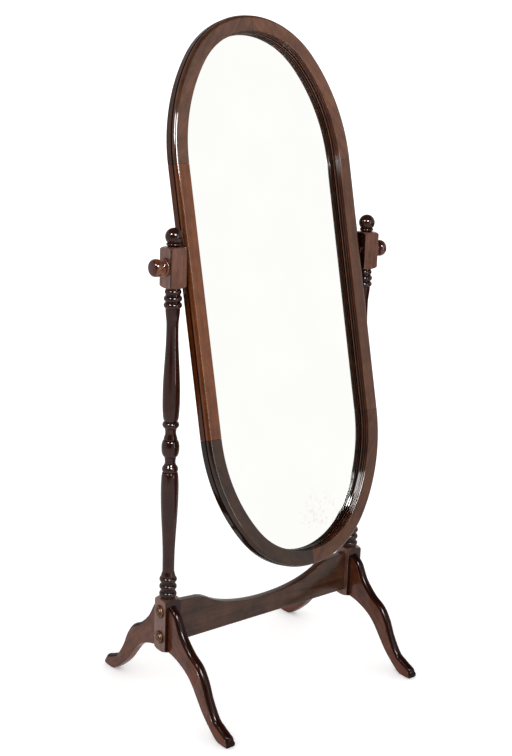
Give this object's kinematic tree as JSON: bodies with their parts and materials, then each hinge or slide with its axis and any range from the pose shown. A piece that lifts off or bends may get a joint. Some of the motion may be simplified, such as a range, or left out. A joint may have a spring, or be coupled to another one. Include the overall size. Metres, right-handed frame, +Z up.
{
  "type": "cheval floor mirror",
  "caption": "Tall oval mirror in a moulded wooden frame, hung between turned posts on splayed S-shaped legs with a scooped stretcher; it tilts about two clamping knobs.",
  "frame": {"origin": "on the floor, midway between the two posts and midway between the front and rear feet", "axes": "+X to the right for a person who faces the glass, -Y towards that person, +Z up"},
  "size_m": [0.6736, 0.496, 1.5491],
  "materials": {
    "dark_wood": "turned and moulded hardwood, dark red-brown stain under glossy lacquer",
    "red_wood": "hardwood, warmer red-brown stain under satin lacquer",
    "rail_wood": "hardwood board, grey-brown stain under satin lacquer",
    "plain_wood": "plain unfinished beech",
    "panel_wood": "thin plywood, raw",
    "mirror": "silvered float glass with slight age spots",
    "steel": "plain zinc-plated steel",
    "brass": "satin brass",
    "bronze": "dark bronzed brass, polished by handling"
  },
  "bodies": {
    "stand": {"post_left": "dark_wood", "post_right": "dark_wood", "leg_front_left": "dark_wood", "leg_rear_left": "dark_wood", "leg_front_right": "dark_wood", "leg_rear_right": "dark_wood", "leg_dowels": "plain_wood", "stretcher": "rail_wood", "rail_bolts": "steel", "cross_nuts": "steel", "bolt_covers": "bronze"},
    "mirror": {"stile_left": "red_wood", "stile_right": "red_wood", "arc_top_left": "dark_wood", "arc_top_right": "dark_wood", "arc_bottom_left": "dark_wood", "arc_bottom_right": "dark_wood", "mirror_glass": "mirror", "back_panel": "panel_wood", "back_clips": "brass", "clip_screws": "steel", "inserts": "brass", "spacer_left": "dark_wood", "spacer_right": "dark_wood"},
    "left_washer": {"washer_left": "brass"},
    "right_washer": {"washer_right": "brass"},
    "left_knob": {"knob_left": "red_wood", "stud_left": "steel"},
    "right_knob": {"knob_right": "dark_wood", "stud_right": "steel"}
  },
  "joints": [
    {"name": "mirror_tilt", "type": "hinge", "parent": "stand", "child": "mirror", "pos_m": [0, 0, 1.022], "axis": [1, 0, 0], "continuous": true},
    {"name": "left_knob_travel", "type": "slide", "parent": "mirror", "child": "left_washer", "axis": [-1, 0, 0], "range_m": [0, 0.0025]},
    {"name": "right_knob_travel", "type": "slide", "parent": "mirror", "child": "right_washer", "axis": [1, 0, 0], "range_m": [0, 0.0025]},
    {"name": "left_knob_turn", "type": "hinge", "parent": "left_washer", "child": "left_knob", "pos_m": [-0.32, 0, 1.022], "axis": [-1, 0, 0], "range_deg": [0, 720]},
    {"name": "right_knob_turn", "type": "hinge", "parent": "right_washer", "child": "right_knob", "pos_m": [0.32, 0, 1.022], "axis": [1, 0, 0], "range_deg": [0, 720]}
  ],
  "couplings": [
    {"joint": "left_knob_turn", "follows": "left_knob_travel", "rad_per_m": 5026.5},
    {"joint": "right_knob_turn", "follows": "right_knob_travel", "rad_per_m": 5026.5}
  ]
}
